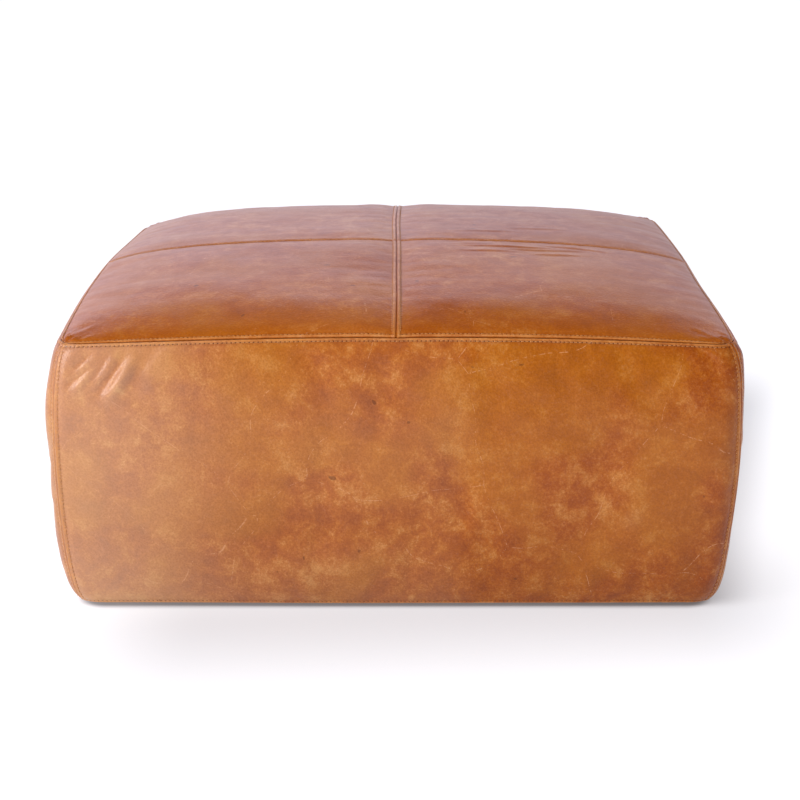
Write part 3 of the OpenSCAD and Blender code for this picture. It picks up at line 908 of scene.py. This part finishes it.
# For each slot, the word that ends the names of its pieces, and its material.
SLOTS = {
    "leather": ("leather", leather_material()),
    "thread": ("thread", plain_material("bonded_thread", "a9682f", "cf975c", 900.0, 0.7, 4000.0, 0.1)),
    "seam_tape": ("cloth", woven_material("seam_tape_cloth", "4a4038", "5d5248", 0.9 * MM)),
    "zip_cloth": ("cloth", woven_material("zip_tape_cloth", "2a211b", "3c3028", 0.7 * MM)),
    "zip_nylon": ("wire", plain_material("zip_nylon", "1c1714", "2b2420", 300.0, 0.4, 2000.0, 0.05)),
    "zip_metal": ("metal", BRASS),
    "lining": ("cloth", woven_material("cotton_lining", "d8cfbd", "eae4d6", 1.1 * MM)),
    "wadding": ("fibre", FIBRE_FILL),
    "foam": ("foam", plain_material("polyurethane_foam", "d9c27a", "e6d394", 120.0, 0.9, 900.0, 0.8)),
}

for panel in panels:
    panel_piece(panel)

# ---- Stitches: short lengths of thread that dip into the leather at both ends ----

STITCH_LEN = 4.1 * MM
STITCH_SIDES = 8
# Along a stitch: share of its length from the middle, height over the leather, share of the thread's radius.
STITCH_RINGS = [
    (-0.5, -0.65, 0.55), (-0.4, -0.1, 0.9), (-0.2, 0.16, 1.0), (0, 0.22, 1.0),
    (0.2, 0.16, 1.0), (0.4, -0.1, 0.9), (0.5, -0.65, 0.55),
]
STITCH_SLANT = 0.045
STITCH_STRAY = 0.1 * MM
STITCH_FAT = (0.94, 1.08)
ROW_END = 6 * MM


def stitch_mesh(places, directions, ups, seed):
    """Points and faces of one stitch at each place."""
    rng = np.random.default_rng(seed)
    n = len(places)
    directions = directions / np.linalg.norm(directions, axis=1, keepdims=True)
    across = np.cross(ups, directions)
    across /= np.linalg.norm(across, axis=1, keepdims=True)
    slant = rng.normal(0, STITCH_SLANT, (n, 1))
    directions = directions + slant * across
    across = np.cross(ups, directions)
    places = places + across * rng.normal(0, STITCH_STRAY, (n, 1))
    size = THREAD_D / 2 * rng.uniform(*STITCH_FAT, (n, 1))
    rings = []
    for share, height, fat in STITCH_RINGS:
        centre = places + directions * (share * STITCH_LEN) + ups * (height * MM)
        for i in range(STITCH_SIDES):
            q = 2 * math.pi * i / STITCH_SIDES
            rings.append(centre + fat * size * (across * math.cos(q) + ups * math.sin(q)))
    points = np.stack(rings, 1)
    faces = around(len(STITCH_RINGS), STITCH_SIDES)
    cap = np.array([[0, i, i + 1, i + 2] for i in range(1, STITCH_SIDES - 2, 2)])
    faces = np.concatenate([faces, cap[:, ::-1], cap + STITCH_SIDES * (len(STITCH_RINGS) - 1)])
    offsets = np.arange(n)[:, None, None] * points.shape[1]
    return points.reshape(-1, 3), (faces[None] + offsets).reshape(-1, 4)


def row_on(panel, edge):
    """Places, directions and ups of the stitches beside one edge of a panel."""
    on_a = edge[0] == "a"
    length, width = (panel.b_size, panel.a_size) if on_a else (panel.a_size, panel.b_size)
    first, last = math.ceil(ROW_END / STITCH_PITCH), math.floor((length - ROW_END) / STITCH_PITCH)
    run = np.arange(first, last) * STITCH_PITCH
    off = np.full(run.shape, ROW_OFFSET if edge[1] == "0" else width - ROW_OFFSET)

    def at(field, run):
        a, b = (off, run) if on_a else (run, off)
        return sampled(panel.a, panel.b, field, a, b)

    direction = at(panel.grid, run + MM) - at(panel.grid, run - MM)
    up = at(panel.normal, run)
    up = up - direction * ((up * direction).sum(-1, keepdims=True) / (direction**2).sum(-1, keepdims=True))
    up /= np.linalg.norm(up, axis=1, keepdims=True)
    return at(panel.grid, run), direction, up


def thread_piece(node, runs):
    """One piece of thread from several runs of stitches, each given as its points and faces."""
    points, faces, count = [], [], 0
    for p, f in runs:
        points.append(p)
        faces.append(f + count)
        count += len(p)
    piece(node, "thread", np.concatenate(points), np.concatenate(faces))


def stitching(node, rows, seed):
    """The stitching along rows of (panel, edge)."""
    thread_piece(node, [stitch_mesh(*row_on(panel, edge), seed + i) for i, (panel, edge) in enumerate(rows)])


sides, tops = panels[:4], panels[4:]
stitching("stitching_perimeter_lower", [(p, "b1") for p in sides], 100)
stitching("stitching_perimeter_upper", [(p, edge) for p in tops for edge in ("a1", "b1")], 200)
stitching("stitching_corners", [(p, edge) for p in sides for edge in ("a0", "a1")], 300)
stitching("stitching_top_front_back", list(zip(tops, ["a0", "b0", "a0", "b0"])), 400)
stitching("stitching_top_left_right", list(zip(tops, ["b0", "a0", "b0", "a0"])), 500)

# ---- Base: two halves that meet at the zip ----

SLOT_HALF = 8 * MM
SLOT_OPEN = ZIP_TRAVEL / 2 + 26 * MM
SLOT_SHUT = ZIP_TRAVEL / 2 + 36 * MM
SLOT_ZONE = 60 * MM
HEM = 0.5 * MM
HEM_RISE = (0, 1.5 * MM)
HEM_FALL = (3.5 * MM, 6 * MM)
# how strongly shade is painted into the base's groove and stitch holes beside the zip
BASE_SEAM_SHADING = 0.8


def slot_half(x):
    return SLOT_HALF * (1 - smooth(np.abs(x), SLOT_OPEN, SLOT_SHUT))


def base_surface(s, t, d=0.0):
    """The front half of the base: its lines draw back from the middle to make room for the zip."""
    p = base_point(s, t, d)
    x, y, z = p[..., 0], p[..., 1], p[..., 2]
    slot = slot_half(x)
    y = np.where(y > -SLOT_ZONE, y * (1 - slot / SLOT_ZONE) - slot, y)
    off = -y - slot
    hem = HEM * smooth(off, *HEM_RISE) * (1 - smooth(off, *HEM_FALL)) * (z > 2 * MM)
    return np.stack([x, y, z - hem * (d == 0)], -1), off


def base_piece(node, half_turns, cut):
    s = np.sin(np.linspace(-math.pi / 2, math.pi / 2, 201))
    # the last few lines give way to the ones that lie close beside the zip
    t = np.concatenate([-np.cos(np.linspace(0, math.pi / 2, 70))[:-4], -NEAR_SEAM[::-1] / FOOT_HALF])
    S, T = np.meshgrid(s, t, indexing="ij")
    outer, off = base_surface(S, T)
    inner, _ = base_surface(S, T, LEATHER_T)
    outer, inner = (settled(turned(p, 2 * half_turns)) for p in (outer, inner))
    obj = piece(node, "leather", *shell_mesh(outer, inner))
    set_seam(obj, S * FOOT_HALF, np.maximum(off, 0), cut)
    set_values(obj, "seam_shading", np.full(2 * S.size, BASE_SEAM_SHADING))


base_piece("base_panel_front", 0, 21.3)
base_piece("base_panel_back", 1, 23.9)


def zip_row(half_turns):
    """The stitches beside one edge of the zip's slot."""
    run = np.round(np.arange(-SLOT_OPEN, SLOT_OPEN, STITCH_PITCH) / STITCH_PITCH) * STITCH_PITCH
    y = np.full(run.shape, -SLOT_HALF - ROW_OFFSET)
    z = base_point(run / FOOT_HALF, y / FOOT_HALF)[..., 2] - HEM
    places = settled(turned(np.stack([run, y, z], -1), 2 * half_turns))
    ups = np.tile([0.0, 0, -1], (len(run), 1))
    return stitch_mesh(places, np.gradient(places, axis=0), ups, 600 + half_turns)


thread_piece("stitching_zip", [zip_row(0), zip_row(1)])

# ---- Tapes behind the seams ----

TAPE_SINK = 6.2 * MM
FOOT_TAPE_SINK = 4 * MM
TAPE_HALF = 12 * MM


def layer_piece(node, slot, layer, depth, thickness, loop=False):
    """A closed layer from a function that gives its grid of points at a depth below the leather."""
    return piece(node, slot, *shell_mesh(settled(layer(depth)), settled(layer(depth + thickness)), loop))


def tape_piece(node, layer, depth=TAPE_SINK, loop=False):
    layer_piece(node, "seam_tape", layer, depth, TAPE_T, loop)


def top_tape(node, quarters, start, stop):
    w = np.linspace(-TAPE_HALF, TAPE_HALF, 9)
    t = np.linspace(start, stop, 90)
    W, T = np.meshgrid(w, t, indexing="ij")
    s = TOP_S(np.abs(W)) * np.sign(W)
    tape_piece(node, lambda d: turned(top_point(s, T, d), quarters))


top_tape("seam_tape_top_front_back", 0, -0.97, 0.97)
top_tape("seam_tape_top_left", 1, 0.05, 0.97)
top_tape("seam_tape_top_right", 3, 0.05, 0.97)


def corner_tape(node, quarters):
    w = np.linspace(0, TAPE_HALF, 6)
    t = 1 - 2 * w / SIDE_W
    v = np.linspace(0.08, 0.93, 60)

    def layer(d):
        near = side_point(*np.meshgrid(t[::-1], v, indexing="ij"), d)
        far = turned(side_point(*np.meshgrid(-t[1:], v, indexing="ij"), d), 1)
        return turned(np.concatenate([near, far]), quarters)

    tape_piece(node, layer)


for k, quadrant in enumerate(QUADRANTS):
    corner_tape(f"corner_tape_{quadrant}", k)

RING_T = np.linspace(-1, 1, 121)[:-1]


def ring(front_lines, d):
    """A grid that runs once round the cover: front_lines gives the points across it for the front side."""
    return np.concatenate([turned(front_lines(RING_T, d), k) for k in range(4)])


def lines_across(surface, t, values, d):
    """Lines of points along t on a surface, one for each value of its other parameter."""
    return [surface(t, np.full(t.shape, value), d) for value in values]


def perimeter_lines(t, d):
    low = lines_across(side_point, t, SIDE_V(SIDE_H - np.linspace(TAPE_HALF, 2 * MM, 5)), d)
    high = lines_across(top_point, t, -TOP_S(TOP_W - np.linspace(3 * MM, TAPE_HALF, 4)), d)
    return np.stack(low + high, 1)


def foot_lines(t, d):
    low = lines_across(base_point, t, -1 + np.linspace(TAPE_HALF, 3 * MM, 4) / FOOT_HALF, d)
    high = lines_across(side_point, t, SIDE_V(np.linspace(2 * MM, TAPE_HALF, 5)), d)
    return np.stack(low + high, 1)


tape_piece("seam_tape_perimeter", lambda d: ring(perimeter_lines, d), loop=True)
tape_piece("seam_tape_base", lambda d: ring(foot_lines, d), FOOT_TAPE_SINK, loop=True)

# ---- Filling: cotton lining, fibre wadding and two foams ----

FILL_STEP = np.sin(np.linspace(-math.pi / 2, math.pi / 2, 61))
BAND_V = (1 - np.cos(np.linspace(0.14, 0.96, 24) * math.pi)) / 2
LINING_BASE_Z = 13 * MM
HOLLOWS = 2 * MM
HOLLOWS_LENGTH = 0.06


def top_layer(d):
    return top_point(*np.meshgrid(FILL_STEP, FILL_STEP, indexing="ij"), d)


def band_layer(d):
    return ring(lambda t, d: np.stack(lines_across(side_point, t, BAND_V, d), 1), d)


def fluffy(layer, seed):
    """The same layer with the small hollows of loose fibre."""

    def sunk(d):
        p = layer(d)
        hollows = 0.5 + 0.25 * waves(p, HOLLOWS_LENGTH, seed)
        return p * (1 - HOLLOWS * hollows[..., None] / COVER_W)

    return sunk


def rounded_block(node, slot, half, z0, z1, edge):
    """A block with softened edges: rings that draw in towards the top and bottom."""
    t = np.linspace(-1, 1, 60)[:-1]
    q = np.linspace(0, math.pi / 2, 5)
    profile = [(0.0, z0)]
    profile += [(half - edge + edge * math.sin(a), z0 + edge - edge * math.cos(a)) for a in q]
    profile += [(half - edge + edge * math.cos(a), z1 - edge + edge * math.sin(a)) for a in q]
    profile += [(0.0, z1)]
    x = along(t, half, CORNER_R)
    y = CORNER_R - half - CORNER_R * np.cos(arc(t, half, CORNER_R))
    rings = []
    for size, z in profile:
        share = size / half
        front = np.stack([x * share, y * share, np.full(t.shape, z)], -1)
        rings.append(np.concatenate([turned(front, k) for k in range(4)]))
    points = settled(np.concatenate(rings))
    obj = piece(node, slot, points, facing_out(points, around(len(rings), len(rings[0]))))
    merge_doubles(obj.data)
    return obj


lining_top = layer_piece("lining_top", "lining", top_layer, LINING_DEPTH, LINING_T)
lining_band = layer_piece("lining_band", "lining", band_layer, LINING_DEPTH, LINING_T, loop=True)
lining_base = rounded_block(
    "lining_base", "lining", FOOT_HALF - LINING_DEPTH, LINING_BASE_Z, LINING_BASE_Z + LINING_T, 0.3 * MM
)
wadding_top = layer_piece("wadding_top", "wadding", fluffy(top_layer, 31), WADDING_DEPTH, WADDING_T)
wadding_band = layer_piece(
    "wadding_band", "wadding", fluffy(band_layer, 32), WADDING_DEPTH, WADDING_T, loop=True
)


def foam_topper():
    top = top_layer(FOAM_DEPTH)
    bottom = top.copy()
    bottom[..., 2] = CORE_TOP + LAP
    piece("foam_topper", "foam", *shell_mesh(settled(top), settled(bottom)))


foam_topper()
CORE_BOTTOM = LINING_BASE_Z + LINING_T + LAP
core = rounded_block("foam_core", "foam", FOOT_HALF - FOAM_DEPTH, CORE_BOTTOM, CORE_TOP, 4 * MM)

# ---- Zip ----

COIL_HALF = ZIP_TRAVEL / 2 + 20 * MM
COIL_Y = 1.9 * MM
COIL_Z = 6.8 * MM
COIL_R = 1.0 * MM
COIL_SQUASH = 0.9
COIL_WIRE = 0.3 * MM
STRIP_WAVE = 23 * MM
COIL_PITCH = 1.5 * MM
ZIP_HALF = ZIP_TRAVEL / 2 + 40 * MM


def tube(path, radius, sides):
    """Points and faces of a round wire along a path of points."""
    forward = np.gradient(path, axis=0)
    forward /= np.linalg.norm(forward, axis=1, keepdims=True)
    up = np.cross(forward, [1.0, 0.3, 0.2])
    up /= np.linalg.norm(up, axis=1, keepdims=True)
    across = np.cross(forward, up)
    q = 2 * math.pi * np.arange(sides) / sides
    grid = path[:, None] + radius * (up[:, None] * np.cos(q)[:, None] + across[:, None] * np.sin(q)[:, None])
    caps = np.array([[3, 2, 1, 0], len(path) * sides - 4 + np.arange(4)])
    return grid.reshape(-1, 3), np.concatenate([around(len(path), sides), caps])


def zip_coil(node, side):
    turns = 2 * COIL_HALF / COIL_PITCH
    q = np.linspace(0, 2 * math.pi * turns, int(turns * 12)) + (math.pi if side > 0 else 0)
    x = np.linspace(-COIL_HALF, COIL_HALF, len(q))
    path = np.stack([x, side * COIL_Y + COIL_R * np.cos(q), COIL_Z + COIL_SQUASH * COIL_R * np.sin(q)], -1)
    piece(node, "zip_nylon", *tube(path, COIL_WIRE, 4))


def zip_strip(node, y_span, z_span, wave):
    """A strip of cloth along the zip, with slight waves towards its edges."""
    X, Y = np.meshgrid(np.linspace(-ZIP_HALF, ZIP_HALF, 241), np.linspace(*y_span, 13), indexing="ij")
    ripple = wave * np.sin(X * 2 * math.pi / STRIP_WAVE) * smooth(np.abs(Y), 3 * MM, 12 * MM)
    low, high = (np.stack([X, Y, z + ripple], -1) for z in z_span)
    piece(node, "zip_cloth", *shell_mesh(low, high))


zip_coil("zip_coil_front", -1)
zip_coil("zip_coil_back", 1)
zip_strip("zip_tape_front", (-15.6 * MM, -0.6 * MM), (8.0 * MM, 8.6 * MM), 0.08 * MM)
zip_strip("zip_tape_back", (0.6 * MM, 15.6 * MM), (8.0 * MM, 8.6 * MM), 0.08 * MM)
zip_strip("zip_guard", (-25 * MM, 25 * MM), (10.65 * MM, 11.4 * MM), 0.1 * MM)


def bevelled(node, body, width):
    """A copy of a hard CAD piece with its edges rounded."""
    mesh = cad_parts[node].data.copy()
    merge_doubles(mesh, math.radians(2))
    raw = linked("raw", mesh)
    edge = raw.modifiers.new("edge", "BEVEL")
    edge.width, edge.segments, edge.limit_method, edge.angle_limit = width, 3, "ANGLE", math.radians(35)
    done = bpy.data.meshes.new_from_object(raw.evaluated_get(bpy.context.evaluated_depsgraph_get()))
    bpy.data.objects.remove(raw, do_unlink=True)
    done.shade_smooth()
    done.set_sharp_from_angle(angle=math.radians(30))
    finished(linked(f"{node}_metal", done), node, "zip_metal", body)


for stops in ("zip_bottom_stop", "zip_top_stops"):
    bevelled(stops, "cover", 0.35 * MM)
bevelled("zip_slider", "slider", 0.14 * MM)
bevelled("zip_pull_tab", "pull_tab", 0.18 * MM)

# ---- Floor, lights and camera ----

FLOOR_HALF = 40
FLOOR_GLOW = 0.95
# strengths of the painted shade in front of the pouf and of the painted shadow to its right
FLOOR_FRONT_SHADE = 0.40
FLOOR_SHADOW = 0.4


def floor_piece():
    """A pale sweep that glows by itself, with shadows painted into the glow: dimmer near the pouf, a soft
    shadow to its right, and darkest where the two touch.
    """
    corners = np.array([[x, y, 0] for x, y in ((-1, -1), (1, -1), (1, 1), (-1, 1))]) * FLOOR_HALF
    obj = make_object("floor", corners, np.array([[0, 1, 2, 3]]))
    material, tree, shader, where = new_material("studio_floor")
    x, y, _ = add(tree, "ShaderNodeSeparateXYZ", {0: where}).outputs
    flat = FOOT_HALF - CORNER_R
    beyond = [math_node(tree, "SUBTRACT", math_node(tree, "ABSOLUTE", axis), flat) for axis in (x, y)]
    beyond = [math_node(tree, "POWER", math_node(tree, "MAXIMUM", axis, 0.0), 2.0) for axis in beyond]
    apart = math_node(tree, "SQRT", math_node(tree, "ADD", *beyond))
    # a painted contact shadow where the pouf stands on the floor
    contact_shadow = remap(tree, apart, CORNER_R - 4 * MM, CORNER_R + 12 * MM, 0.3, 1.0)
    # painted shade on the floor in front of the pouf
    front = math_node(tree, "MULTIPLY_ADD", x, 0.12, product(tree, y, -1.0))
    aside = math_node(tree, "ABSOLUTE", math_node(tree, "SUBTRACT", x, 0.06))
    front_shade = between(tree, front, (0.1, 0.42), (0.38, 0.75))
    front_shade = product(tree, front_shade, remap(tree, aside, 0.28, 0.52, 1.0, 0.0))
    # a soft shadow to the right, painted into the glow
    across_it = math_node(tree, "MULTIPLY_ADD", math_node(tree, "ADD", y, 0.34), -0.22, x)
    shadow = product(tree, remap(tree, across_it, 0.36, 0.45, 1.0, 0.0), remap(tree, x, 0.1, 0.3))
    shadow = product(tree, shadow, between(tree, y, (-0.39, -0.34), (0.45, 0.8)))
    glow = math_node(tree, "MULTIPLY_ADD", front_shade, -FLOOR_FRONT_SHADE, FLOOR_GLOW)
    glow = product(tree, glow, math_node(tree, "MULTIPLY_ADD", shadow, -FLOOR_SHADOW, 1.0), contact_shadow)
    feed(tree, shader, {
        "Base Color": (0.32, 0.315, 0.33, 1),
        "Roughness": 0.8,
        "Specular IOR Level": 0.1,
        "Emission Color": (0.96, 0.965, 1, 1),
        "Emission Strength": glow,
    })
    obj.data.materials.append(material)
    obj.location.z = -0.2 * MM


floor_piece()


def studio_world():
    """A white room: bright behind the object and to its left, dimmer overhead, darkest behind the camera."""
    world = bpy.data.worlds.new("studio")
    bpy.context.scene.world = world
    world.use_nodes = True
    tree = world.node_tree
    way = add(tree, "ShaderNodeTexCoord").outputs["Generated"]
    x, y, z = add(tree, "ShaderNodeSeparateXYZ", {0: way}).outputs
    behind = remap(tree, y, 0.0, 0.8)
    low = product(tree, remap(tree, z, 0.335, 0.43, 1.0, 0.0), remap(tree, z, 0.12, 0.36, 0.62, 1.0))
    low = product(tree, low, remap(tree, x, -0.2, 0.25, 1.1, 0.72))
    left = remap(tree, x, -0.9, -0.2, 1.0, 0.0)
    total = math_node(tree, "ADD", product(tree, behind, low, 1.6), product(tree, left, 0.35))
    total = math_node(tree, "ADD", total, 0.12)
    feed(tree, tree.nodes["Background"], {"Color": (0.97, 0.9, 1.08, 1), "Strength": total})


studio_world()


def area_light(name, place, target, size, power, colour):
    light = bpy.data.lights.new(name, "AREA")
    light.shape = "RECTANGLE"
    light.size, light.size_y = size
    light.energy = power
    light.color = colour
    obj = linked(name, light)
    obj.location = place
    obj.rotation_mode = "QUATERNION"
    obj.rotation_quaternion = (Vector(target) - Vector(place)).to_track_quat("-Z", "Y")
    return obj


LEFT_LIGHT_AT = (-2.6, -1.8, 1.5)
FRONT_LIGHT_AT = (-0.6, -2.3, 3.3)

area_light("key_left", LEFT_LIGHT_AT, (0, 0, 0.15), (1.0, 1.2), 30, (1, 0.99, 0.97))
key_front = area_light("key_front", FRONT_LIGHT_AT, (0, 0, 0.2), (2.6, 2.0), 92, (1, 0.97, 0.93))
key_front.visible_glossy = False
# the pale sheen on the folds
sheen = area_light("sheen_left", LEFT_LIGHT_AT, (0, 0, 0.15), (1.5, 1.5), 52, (1, 0.95, 0.97))
sheen.visible_diffuse = False

LENS = 92.57
PITCH = 16.025
CAMERA_AT = (0.0058, -2.6695, 0.9156)

camera = linked("camera", bpy.data.cameras.new("camera"))
camera.data.lens = LENS
camera.data.sensor_width = 36
camera.data.clip_end = 200
camera.location = CAMERA_AT
camera.rotation_euler = (math.radians(90 - PITCH), 0, 0)
bpy.context.scene.camera = camera
bpy.context.scene.view_settings.view_transform = "Standard"
